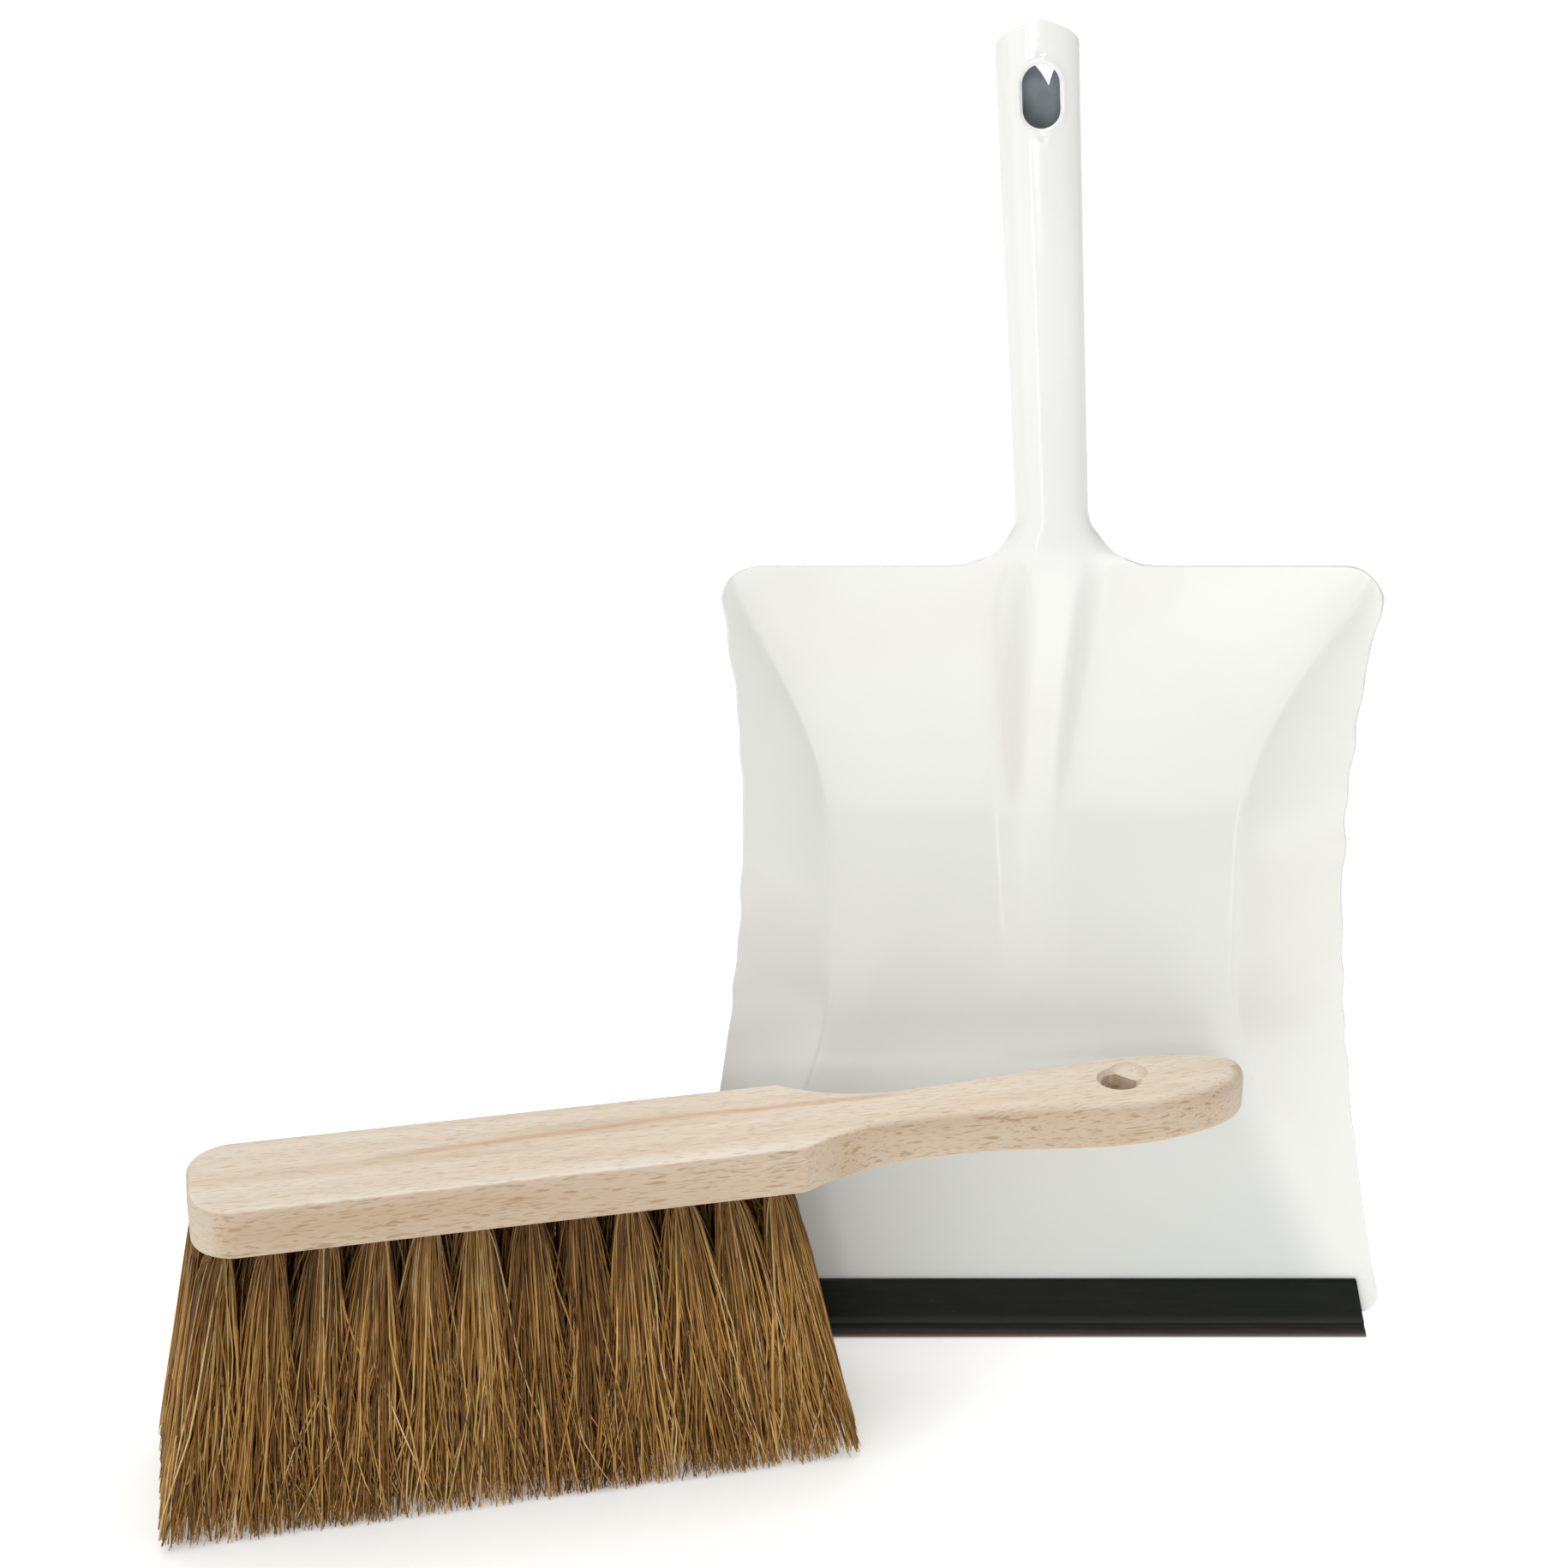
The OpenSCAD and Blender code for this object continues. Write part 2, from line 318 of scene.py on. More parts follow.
def tube_inside_material():
    """Blue-grey, thinly coated steel inside the rolled handle; its dark tone is partly painted shade, and
    the lower inside is painted darker still.
    """
    m = Nodes("tube_inside", pan_place)
    place = m.coords()
    spangle = m.cells(place, 320)
    # Painted shade: the inside seen through the slot is darker at its lower end and paler at its upper end.
    dark = m.blend(spangle, (0.10, 0.135, 0.14), (0.15, 0.19, 0.195))
    pale = m.blend(spangle, (0.27, 0.31, 0.35), (0.34, 0.37, 0.41))
    m.set(
        Base_Color=m.blend(m.between(m.axis(place, 1), 0.398, 0.413), dark, pale),
        Metallic=0.3,
        Roughness=m.between(m.noise(place, 90, 4), 0.3, 0.7, 0.35, 0.55),
        Normal=m.bump(m.noise(place, 500, 3), 0.15, 0.0003),
    )
    return m.material


def rubber_material():
    """Green-black rubber, with grey-brown dust on the nose that touches the ground."""
    m = Nodes("lip_rubber_black", pan_place)
    place = m.coords()
    height = m.axis(place, 1)
    streaks = m.noise(m.scaled(place, (1, 14, 14)), 45, 4, 0.6)
    specks = m.noise(place, 1500, 2, 0.6)
    dust = m.math("MULTIPLY", m.between(height, 0.0042, 0.0028), m.between(streaks, 0.15, 0.75, 0.45, 1.0))
    # A lighter band along the bead above the groove: a painted highlight.
    painted_light_mask = m.math("MULTIPLY", m.between(height, 0.0045, 0.0058), m.between(height, 0.0078, 0.0060))
    black = m.ramp(streaks, [(0.3, (0.0055, 0.0075, 0.004)), (0.7, (0.011, 0.0118, 0.0075))])
    black = m.blend(m.math("MULTIPLY", painted_light_mask, 0.8), black, (0.034, 0.035, 0.031))
    dusty = m.blend(dust, black, (0.042, 0.037, 0.033))
    dusty = m.blend(m.between(height, 0.0016, 0.0006), dusty, (0.15, 0.095, 0.082))
    m.set(
        Base_Color=m.blend(m.between(specks, 0.74, 0.8, 0.0, 0.35), dusty, (0.14, 0.14, 0.13)),
        Roughness=m.between(streaks, 0.25, 0.75, 0.36, 0.5),
        Specular_IOR_Level=0.12,
        Normal=m.bump(m.noise(place, 1800, 3), 0.12, 0.0002, m.bump(streaks, 0.12, 0.0004)),
    )
    return m.material


def beech_material():
    """Raw steamed beech: cream ground, soft streaks, short dark flecks, and rings on the end grain."""
    m = Nodes("beech_raw", brush_place)
    place = m.coords()
    along, across, up = (m.axis(place, axis) for axis in range(3))
    facing_top = m.between(m.facing(2), 0.55, 0.95)
    facing_end = m.between(m.facing(0), 0.3, 0.7)

    figure = m.noise(m.scaled(place, (5, 95, 60)), 1, 4, 0.55, 0.4)
    ground = m.ramp(figure, [
        (0.28, (0.70, 0.575, 0.44)),
        (0.5, (0.795, 0.69, 0.57)),
        (0.72, (0.86, 0.775, 0.67)),
    ])
    broad = m.noise(m.scaled(place, (9, 40, 40)), 1, 3, 0.5)
    ground = m.blend(m.between(broad, 0.45, 0.75, 0.0, 0.22), ground, (0.72, 0.55, 0.42))

    # One brown growth line wanders along the top, from the middle of the head into the handle.
    line = m.math("SUBTRACT", across, m.math("MULTIPLY", along, 0.03))
    wander = m.between(m.noise(m.scaled(place, (11, 2, 2)), 1, 2), 0.2, 0.8, -0.002, 0.002)
    offset = m.math("ABSOLUTE", m.math("SUBTRACT", line, wander))
    started = m.between(along, 0.045, 0.075)
    stopped = m.between(along, 0.235, 0.205)
    streak = m.math("MULTIPLY", m.between(offset, 0.0024, 0.0002), m.math("MULTIPLY", started, stopped))
    ground = m.blend(m.math("MULTIPLY", streak, 0.55), ground, (0.60, 0.37, 0.215))

    # Rays: thin dashes on the top, longer and broader lenses on the sides.
    dashes = m.noise(m.scaled(place, (210, 2300, 2300)), 1, 1, 0.5)
    dash_mask = m.between(dashes, 0.54, 0.72, 0.0, 0.5)
    lenses = m.noise(m.scaled(place, (150, 1100, 900), (0.7, 0.3, 0.2)), 1, 1.5, 0.5, 0.3)
    on_side = m.math("SUBTRACT", 1.0, facing_top)
    lens_mask = m.math("MULTIPLY", m.between(lenses, 0.57, 0.70, 0.0, 0.65), on_side)
    flecks = m.math("MAXIMUM", dash_mask, lens_mask)
    flecks = m.math("MULTIPLY", flecks, m.math("SUBTRACT", 1.0, m.math("MULTIPLY", facing_end, 0.6)))
    ground = m.blend(flecks, ground, (0.49, 0.32, 0.175))

    # The sides are painted darker and browner than the top by which way they face: painted shade for light
    # from above.
    shaded_sides = m.blend(1.0, ground, (0.72, 0.665, 0.59), "MULTIPLY")
    ground = m.blend(facing_top, shaded_sides, ground)

    # End grain: rings across it and fine checks.
    rings = m.noise(m.scaled(place, (60, 260, 1400)), 1, 3, 0.6)
    checks = m.noise(m.scaled(place, (500, 2300, 340)), 1, 2, 0.6)
    end_tone = m.ramp(rings, [(0.3, (0.56, 0.465, 0.365)), (0.7, (0.70, 0.615, 0.51))])
    end_tone = m.blend(m.between(checks, 0.6, 0.7, 0.0, 0.5), end_tone, (0.46, 0.36, 0.26))
    ground = m.blend(m.math("MULTIPLY", facing_end, 0.75), ground, end_tone)

    fibres = m.noise(m.scaled(place, (60, 3200, 3200)), 1, 3, 0.6)
    m.set(
        Base_Color=ground,
        Roughness=m.between(fibres, 0.25, 0.75, 0.6, 0.78),
        Specular_IOR_Level=0.25,
        Normal=m.bump(flecks, 0.35, 0.0002, m.bump(fibres, 0.3, 0.00025)),
    )
    return m.material


def coir_material():
    """Coconut fibre: every fibre has its own tone, and painted shade makes the roots darker than the tips.
    """
    m = Nodes("coir_fibre", brush_place)
    place = m.coords()
    tone = m.attribute("tone")
    along = m.attribute("along")
    mottle = m.noise(m.scaled(place, (1, 1, 0.25)), 900, 3, 0.6)
    fibre = m.ramp(tone, [
        (0.0, (0.045, 0.017, 0.003)),
        (0.3, (0.24, 0.105, 0.019)),
        (0.6, (0.52, 0.275, 0.060)),
        (0.85, (0.74, 0.46, 0.145)),
        (1.0, (0.90, 0.69, 0.38)),
    ])
    fibre = m.blend(m.between(mottle, 0.35, 0.7, 0.0, 0.3), fibre, (0.20, 0.09, 0.022))
    # Painted shade darkens the fibres towards their roots under the block.
    m.set(
        Base_Color=m.blend(m.between(along, 0.0, 0.45, 0.55, 0.0), fibre, (0.09, 0.042, 0.012)),
        Roughness=m.between(mottle, 0.2, 0.8, 0.38, 0.6),
        Specular_IOR_Level=0.3,
        Normal=m.bump(mottle, 0.25, 0.0002),
    )
    return m.material


def wire_material():
    """Drawn steel wire of the tuft anchors."""
    m = Nodes("anchor_wire_steel")
    place = m.coords()
    draw = m.noise(m.scaled(place, (900, 900, 5000)), 1, 3)
    m.set(
        Base_Color=m.ramp(draw, [(0.3, (0.45, 0.45, 0.46)), (0.7, (0.66, 0.66, 0.66))]),
        Metallic=1.0,
        Roughness=m.between(draw, 0.3, 0.7, 0.28, 0.5),
        Normal=m.bump(draw, 0.1, 0.0001),
    )
    return m.material


# ---------------------------------------------------------------- the pan: one pressed and rolled sheet

SHEET_T = 0.8
BACK_B = 266
CORNER_B = 256
WAIST_B = 185
BACK_HALF = 101.4
WAIST_HALF = 95.2
FRONT_HALF = 123.5
FLOOR_HALF = 66
RIM_H = 42
RIDGE_H = 8
RIDGE_START = 110
RIDGE_HALF = 22
BACK_RISE = 91
BACK_SLOPE = 0.9
CREASE_START = 125
CREASE_TURN = 150
NECK_DROP = 1.8
SWELL = 9
SWELL_START = 176
NECK_HALF = 31
NECK_RISE = 2.4
TRAY_FRONT = 8
WALL_START = 22
CORNER_U = 1 - 12.4 / BACK_HALF
FOOT = 0.05
CREASE_POWER = 14
CREASE_BEAD = 0.3
FRONT_CORNER_R = 8

TUBE_START = 266.8
TUBE_LEN = 161
TUBE_HALF = 11.75
TUBE_HALF_D = 8.5
TUBE_N = RIM_H + RIDGE_H - TUBE_HALF_D
TUBE_POWER = 2.4
HANDLE_BEND = math.radians(2.8)
SEAM_GAP = 0.9995
SEAM_SHIFT = 0.115
SLOT_B = TUBE_START + TUBE_LEN - 22
SLOT_HALF_W = 5.6
SLOT_HALF_L = 9.25
HANDLE_PLAIN_B = 380
FAR = 99
# How far the strip has rolled into the front of the tube, by height.
ROLL_B = (268.4, 270, 271.7, 273.5, 275.5, 278, 280, 283)
ROLL_SHARE = (0, 0.23, 0.45, 0.60, 0.73, 0.87, 0.95, 1)
# The front half of the tube forms first, and the back closes between these heights.
OPEN_SHARE = 0.5
CLOSE_B = (271, 300)
TUBE_WIDTHS = (22.6, 25.0)
TOP_ROWS = 72
ROW_STEP = 1.2


def rim_half(b):
    front = WAIST_HALF + (FRONT_HALF - WAIST_HALF) * clamp01((WAIST_B - b) / WAIST_B) ** 1.8
    back = WAIST_HALF + (BACK_HALF - WAIST_HALF) * clamp01((b - WAIST_B) / (CORNER_B - WAIST_B)) ** 2
    return np.where(b < WAIST_B, front, back)


def rim_height(b):
    return RIM_H * clamp01((b - WALL_START) / (CORNER_B - WALL_START)) ** 0.9


def floor_line(b):
    front = (FRONT_HALF - 3 - FLOOR_HALF) * clamp01((CREASE_START - b) / CREASE_START) ** 1.5
    back = 22 * clamp01((b - CREASE_TURN) / (BACK_B - CREASE_TURN)) ** 2.2
    return FLOOR_HALF + front + back


def back_height(b):
    """Height of the curved back, which goes on at its own slope past the back edge."""
    curve = RIM_H * clamp01((b - BACK_B + BACK_RISE) / BACK_RISE) ** 2.2
    return curve + BACK_SLOPE * np.maximum(b - BACK_B, 0)


def ridge_half_at(b):
    return mix(10, RIDGE_HALF, clamp01((b - RIDGE_START) / (BACK_B - RIDGE_START)))


def crest_height(b):
    """Height of the ridge over the sheet beside it, with a swell that eases it into the tube."""
    plain = (RIDGE_H - NECK_DROP) * clamp01((b - RIDGE_START) / (BACK_B - RIDGE_START)) ** 0.85
    x = np.maximum((b - SWELL_START) / (BACK_B - SWELL_START), 0)
    return plain + SWELL * 6.75 * x ** 2 * (1 - x)


def ridge_profile(x, b):
    """Height of the ridge at a share x of its half width: round, then like the front of the tube."""
    swell = clamp01(1 - x ** 2) ** 2
    tube = (1 / (1 + (np.abs(x) / 0.5) ** 5) - 1 / 33) / (1 - 1 / 33)
    return crest_height(b) * mix(swell, tube, smooth(clamp01((b - 130) / 90)))


def crease_share(b):
    """Where the side wall leaves the floor or the curved back, as a share of the wall's width."""
    return np.minimum(0.94, back_height(b) / np.maximum(rim_height(b), 1))


def wall_height(x):
    foot = np.sqrt(clamp01(x) ** 2 + FOOT ** 2) - FOOT
    return foot / (math.sqrt(1 + FOOT ** 2) - FOOT)


def side_across(p, b):
    """Distance across at a column p: 0 the ridge's edge, 1 the crease, 2 the rim."""
    crease = mix(floor_line(b), rim_half(b), crease_share(b))
    inner = mix(ridge_half_at(b), crease, 1 - (1 - clamp01(p)) ** 1.6)
    outer = mix(crease, rim_half(b), clamp01(p - 1) ** 1.3)
    return np.where(p <= 1, inner, outer)


def back_edge(u):
    bend = np.sqrt(clamp01(1 - (clamp01(u - CORNER_U) / (1 - CORNER_U)) ** 2))
    neck = NECK_RISE * clamp01((NECK_HALF - u * BACK_HALF) / (NECK_HALF - RIDGE_HALF)) ** 2
    return CORNER_B + (BACK_B - CORNER_B) * bend + neck


def front_edge(p):
    across = side_across(p, np.full_like(p, TRAY_FRONT))
    start = rim_half(np.array(float(TRAY_FRONT))) - FRONT_CORNER_R
    reach = clamp01((across - start) / FRONT_CORNER_R)
    return TRAY_FRONT + FRONT_CORNER_R * (1 - np.sqrt(clamp01(1 - reach ** 2)))


def column_back(p):
    """Where a column meets the back edge, found by halving."""
    low = np.full_like(p, CORNER_B)
    high = np.full_like(p, BACK_B + NECK_RISE)
    for _ in range(30):
        middle = (low + high) / 2
        past = middle > back_edge(side_across(p, middle) / rim_half(middle))
        high = np.where(past, middle, high)
        low = np.where(past, low, middle)
    return (low + high) / 2


def sheet_height(a, b):
    x = (np.abs(a) - floor_line(b)) / (rim_half(b) - floor_line(b))
    side = rim_height(b) * wall_height(x)
    crease = mix(floor_line(b), rim_half(b), crease_share(b))
    bead = CREASE_BEAD * clamp01(b / 60 - 1) * np.exp(-((np.abs(a) - crease) / 0.9) ** 2)
    return bead + (side ** CREASE_POWER + back_height(b) ** CREASE_POWER + 1e-12) ** (1 / CREASE_POWER)


# The closed section of the tube by its own length, -1 and 1 at the back and 0 at the front.
turn = np.linspace(-1.2 * np.pi, 1.2 * np.pi, 2401)
section_a = TUBE_HALF * np.sign(np.sin(turn)) * np.abs(np.sin(turn)) ** (2 / TUBE_POWER)
section_n = TUBE_HALF_D * np.sign(np.cos(turn)) * np.abs(np.cos(turn)) ** (2 / TUBE_POWER)
section_len = np.concatenate([[0], np.cumsum(np.hypot(np.diff(section_a), np.diff(section_n)))])
section_len -= np.interp(0, turn, section_len)
section_len /= np.interp(np.pi, turn, section_len)


def tube_width(b):
    """Width of the tube at a height, as a share of its drawn section."""
    return mix(*TUBE_WIDTHS, clamp01((b - 285) / 140)) / (2 * TUBE_HALF)


def slot_distance(a, b):
    """Signed distance to the outline of the hanging slot."""
    straight = SLOT_HALF_L - SLOT_HALF_W
    return np.hypot(a, np.maximum(np.abs(b - SLOT_B) - straight, 0)) - SLOT_HALF_W


def top_drop(s):
    """How far the handle's open end lies below its peak: a low arch in front, a notch at the back."""
    share = np.abs(s)
    arch = 7 * clamp01(share / 0.5) ** 1.3
    notch = 10.7 * clamp01((share - 0.5) / 0.5) ** 4
    return arch + notch


def pan_points():
    """Points of the tray's face and of the handle's, each as (rows, columns, 3) in pan millimetres."""
    rng = np.random.default_rng(SEED)
    strip = np.linspace(-1, 1, 97)
    side = np.concatenate([np.linspace(0, 1, 27)[1:], np.linspace(1, 2, 25)[1:]])
    v = np.linspace(0, 1, 140)[:, None]

    strip_b = mix(TRAY_FRONT, BACK_B + NECK_RISE, v) + 0 * strip
    strip_a = strip * ridge_half_at(strip_b)
    side_b = mix(front_edge(side), column_back(side), v)
    side_a = side_across(side, side_b)
    a = np.hstack([-side_a[:, ::-1], strip_a, side_a])
    b = np.hstack([side_b[:, ::-1], strip_b, side_b])
    ridge_half = ridge_half_at(b)
    n = sheet_height(a, b) + np.where(np.abs(a) < ridge_half, ridge_profile(a / ridge_half, b), 0)

    # Puckers that the press leaves in the side walls, strongest along the rim.
    wall = np.hstack([side[::-1], 0 * strip, side]) - 1
    for sign, depth in ((-1, 0.30), (1, 0.45)):
        pucker = waves(b, (15.5, 19.3, 26.1, 37.7), rng) * clamp01((b - 60) / 60) * clamp01((262 - b) / 10)
        reach = np.where(np.sign(a) == sign, clamp01(wall), 0)
        a = a + sign * depth * pucker * reach ** 5
        n = n + 0.16 * pucker * reach * (1 - 0.5 * reach)
    tray = np.stack([a, b, n], axis=-1)

    # Level rows up to the plain height, then rows that lean over to the shape of the open end.
    rows = np.arange(BACK_B + NECK_RISE + 0.8, HANDLE_PLAIN_B, ROW_STEP)
    rows = np.concatenate([rows, np.full(TOP_ROWS, HANDLE_PLAIN_B)])[:, None]
    share = np.concatenate([np.zeros(len(rows) - TOP_ROWS), np.linspace(0, 1, TOP_ROWS)])[:, None]
    b = mix(rows, TUBE_START + TUBE_LEN - top_drop(strip), share)
    rolled = np.interp(b, ROLL_B, ROLL_SHARE)
    closed = smooth(clamp01((b - CLOSE_B[0]) / (CLOSE_B[1] - CLOSE_B[0])))
    shift = SEAM_SHIFT * smooth(clamp01((b - CLOSE_B[1]) / 60))
    reach = mix(OPEN_SHARE, SEAM_GAP, closed) * strip - shift * strip ** 2
    tube_a = np.interp(reach, section_len, section_a) * tube_width(b)
    tube_n = TUBE_N + np.interp(reach, section_len, section_n)
    flat_n = back_height(b) + ridge_profile(strip, b)
    a = mix(RIDGE_HALF * strip, tube_a, rolled)
    n = mix(flat_n, tube_n, rolled)
    handle = np.stack([a, b, n + 0 * b], axis=-1)
    return tray, handle


def cut_slot(points, faces):
    """Opens the hanging slot in the handle's grid, with a rolled border and a small dimple at each end."""
    front = (points[:, 2] > TUBE_N) & (points[:, 1] > HANDLE_PLAIN_B - 5)
    distance = np.where(front, slot_distance(points[:, 0], points[:, 1]), FAR)
    kept = distance[faces].mean(axis=1) > 0
    inside = np.zeros(len(points), bool)
    inside[np.unique(faces[~kept])] = True
    edge = np.zeros(len(points), bool)
    edge[np.unique(faces[kept])] = True
    edge &= inside

    a, b = points[edge, 0], points[edge, 1]
    centre_b = np.clip(b, SLOT_B - (SLOT_HALF_L - SLOT_HALF_W), SLOT_B + (SLOT_HALF_L - SLOT_HALF_W))
    length = np.hypot(a, b - centre_b)
    points[edge, 0] = a / length * SLOT_HALF_W
    points[edge, 1] = centre_b + (b - centre_b) / length * SLOT_HALF_W

    distance = np.where(front, slot_distance(points[:, 0], points[:, 1]), FAR)
    border = 0.55 * np.exp(-((distance - 1.1) / 0.55) ** 2) - 0.5 * np.exp(-(distance / 0.45) ** 2)
    for end in (-1, 1):
        dimple_b = SLOT_B + end * (SLOT_HALF_L + 2.6)
        near = np.hypot(points[:, 0], points[:, 1] - dimple_b)
        border = border - np.where(front, 0.35 * np.exp(-(near / 0.8) ** 2), 0)
    points[:, 2] += border
    return faces[kept]


def bend_handle(points):
    """Leans the handle to the left about the point where it leaves the tray."""
    rise = points[:, 1] - TUBE_START
    angle = HANDLE_BEND * smooth(clamp01(rise / 18))
    a = points[:, 0].copy()
    points[:, 0] = a * np.cos(angle) - rise * np.sin(angle)
    points[:, 1] = TUBE_START + rise * np.cos(angle) + a * np.sin(angle)


def build_pan():
    tray, handle = pan_points()
    tray_rows, columns, _ = tray.shape
    handle_rows, strip_columns, _ = handle.shape
    side_columns = (columns - strip_columns) // 2
    tray_points = tray.reshape(-1, 3)
    tray_faces = grid_faces(tray_rows, columns)

    # The handle's first row is the middle of the tray's last row.
    seam = np.arange(strip_columns) + (tray_rows - 1) * columns + side_columns
    handle = np.concatenate([tray[-1:, side_columns:side_columns + strip_columns], handle])
    handle_points = handle.reshape(-1, 3)
    handle_faces = cut_slot(handle_points, grid_faces(handle_rows + 1, strip_columns))
    bend_handle(handle_points)
    number = np.concatenate([seam, np.arange(len(handle_points) - strip_columns) + len(tray_points)])

    points = np.vstack([tray_points, handle_points[strip_columns:]])
    faces = np.vstack([tray_faces, number[handle_faces]])
    used = np.unique(faces)
    renumber = np.full(len(points), -1)
    renumber[used] = np.arange(len(used))
    in_tube = handle_points[handle_faces].mean(axis=1)[:, 1] > CLOSE_B[1]

    pan = new_object("pan_sheet", points[used], renumber[faces], pan_place)
    enamel = enamel_material()
    edge = cut_edge_material()
    for material in (enamel, edge, enamel, enamel, edge, tube_inside_material()):
        pan.data.materials.append(material)
    # Each kind of face has three slots: its front, its cut edge and its back.
    kinds = np.concatenate([np.zeros(len(tray_faces), np.int32), np.where(in_tube, 3, 0).astype(np.int32)])
    pan.data.polygons.foreach_set("material_index", kinds)

    shell = pan.modifiers.new("thickness", "SOLIDIFY")
    shell.thickness = SHEET_T * MM
    shell.offset = -1
    shell.material_offset_rim = 1
    shell.material_offset = 2
    bake_modifiers(pan)
    soften(pan, 50)
    finish_piece(pan, "pan", "enamel", "pan_tray", "pan_handle")


# ---------------------------------------------------------------- the rubber lip

LIP_TOP_HALF = 111.5
LIP_FOOT_HALF = 115.5
LIP_H = 20

# Section of the lip: out of the pan, and up its floor. It clasps the edge of the sheet from both sides.
LIP_SECTION = [
    (0.12, 20.0), (1.0, 20.0), (1.45, 19.6), (1.7, 18.6), (2.1, 14.0), (2.35, 10.0), (2.5, 7.4),
    (2.75, 6.5), (3.1, 6.1), (3.25, 5.7), (3.1, 5.3), (2.5, 5.05), (2.2, 4.7), (2.1, 4.0),
    (2.15, 3.3), (2.6, 3.0), (3.0, 2.5), (3.1, 1.6), (3.0, 0.7), (2.6, 0.0), (1.8, -0.35),
    (0.2, -0.02), (-2.6, 0.58), (-3.3, 1.0), (-3.7, 1.9), (-3.8, 3.2), (-3.6, 5.0), (-3.0, 7.0),
    (-2.7, 12.0), (-2.5, 18.8), (-2.1, 19.7), (-1.5, 20.0), (-0.92, 20.0), (-0.92, 7.9), (0.12, 7.9),
]


def build_lip():
    rng = np.random.default_rng(SEED + 1)
    stations = np.linspace(-1, 1, 141)
    section = np.array(LIP_SECTION[::-1])
    out, up = section[:, 0], section[:, 1]
    half = mix(LIP_FOOT_HALF, LIP_TOP_HALF, clamp01(up / LIP_H))
    across = stations[:, None] * half
    ripple = 0.12 * waves(across, (23.0, 41.0, 67.0), rng) * clamp01((up - 8) / 12)
    front = np.where(out > 0.5, 1.0, 0.0)
    points = np.stack([across, up + 0 * across, out + ripple * front], axis=-1).reshape(-1, 3)

    lip = new_object("lip_profile", points, loft_faces(len(stations), len(section)), pan_place)
    lip.data.materials.append(rubber_material())
    soften(lip, 42)
    finish_piece(lip, "pan", "lip_rubber", "lip")


# ---------------------------------------------------------------- the brush block

HEAD_LEN = 184
HEAD_HALF = 21
BLOCK_T = 16
BRISTLE_H = 93
END_R = 14
ROWS = 4
TUFTS = 12
TUFT_U0 = 8
TUFT_PITCH = (HEAD_LEN - 2 * TUFT_U0) / (TUFTS - 1)
ROW_PITCH = 10
BORE_R = 3.7
BORE_DEPTH = 10
HOLE_R = 5.7
COUNTERSINK = 1.5
SCOOP_R = 9.3
SCOOP_DEPTH = 2.3

# Outline of the hand-cut handle, from the near shoulder round its end to the far shoulder.
GRIP = [
    (184, -21), (189, -18.4), (196, -15.2), (206, -12.4), (217, -10.8), (230, -10.3), (244, -10.9),
    (260, -12.9), (275, -15.3), (288, -16.7), (300, -16.4), (311, -14.4), (320, -11.6),
    (327.5, -7.8), (332, -3.0), (333.8, 2.2), (332.6, 7.2), (327.5, 10.9), (318, 13.7),
    (307, 15.8), (295, 16.6), (281, 16.0), (267, 14.7), (252, 13.2), (238, 11.9), (226, 11.0),
    (214, 10.7), (204, 11.6), (195, 14.4), (188, 18.0), (184, 21),
]


def tuft_centre(row, i):
    """Where a tuft leaves the block: along the head and across it, in brush millimetres."""
    return TUFT_U0 + TUFT_PITCH * i, ROW_PITCH * (row - 1.5)


def block_outline():
    """The closed outline of the block, counterclockwise from its left end, in short steps."""
    arc = np.linspace(0, np.pi / 2, 15)
    near_corner = np.stack([END_R - END_R * np.cos(arc), END_R - HEAD_HALF - END_R * np.sin(arc)], axis=1)
    far_corner = near_corner[::-1] * (1, -1)
    near_side = np.stack([np.linspace(END_R, HEAD_LEN, 90)[1:-1], np.full(88, -HEAD_HALF)], axis=1)
    far_side = near_side[::-1] * (1, -1)
    end = np.stack([np.zeros(8), np.linspace(HEAD_HALF - END_R, END_R - HEAD_HALF, 10)[1:-1]], axis=1)
    return np.vstack([near_corner, near_side, spline(GRIP, 6), far_side, far_corner, end])


def outward(outline):
    """Unit normals of a counterclockwise closed outline."""
    ahead = np.roll(outline, -1, axis=0) - outline
    behind = outline - np.roll(outline, 1, axis=0)
    ahead /= np.linalg.norm(ahead, axis=1, keepdims=True)
    behind /= np.linalg.norm(behind, axis=1, keepdims=True)
    along = ahead + behind
    along /= np.linalg.norm(along, axis=1, keepdims=True)
    return np.stack([along[:, 1], -along[:, 0]], axis=1)


def placed_cutter(name, place):
    """Names the mesh that was just added and moves it to a place in brush millimetres."""
    obj = bpy.context.object
    obj.name = name
    obj.data.transform(brush_place @ Matrix.Translation(Vector(place) * MM))
    return obj


def cone_cutter(name, place, foot_radius, top_radius, depth):
    bpy.ops.mesh.primitive_cone_add(
        vertices=48, radius1=foot_radius * MM, radius2=top_radius * MM, depth=depth * MM)
    return placed_cutter(name, place)


def ball_cutter(name, place, radius):
    bpy.ops.mesh.primitive_uv_sphere_add(segments=96, ring_count=48, radius=radius * MM)
    return placed_cutter(name, place)


def cut_block(block, tools):
    """Takes the tools out of the block, then removes them."""
    bpy.ops.object.select_all(action="DESELECT")
    for tool in tools:
        tool.select_set(True)
    bpy.context.view_layer.objects.active = tools[0]
    if len(tools) > 1:
        bpy.ops.object.join()
    cut = block.modifiers.new("cut", "BOOLEAN")
    cut.operation = "DIFFERENCE"
    cut.solver = "EXACT"
    cut.object = tools[0]
    bake_modifiers(block)
    bpy.data.objects.remove(tools[0])


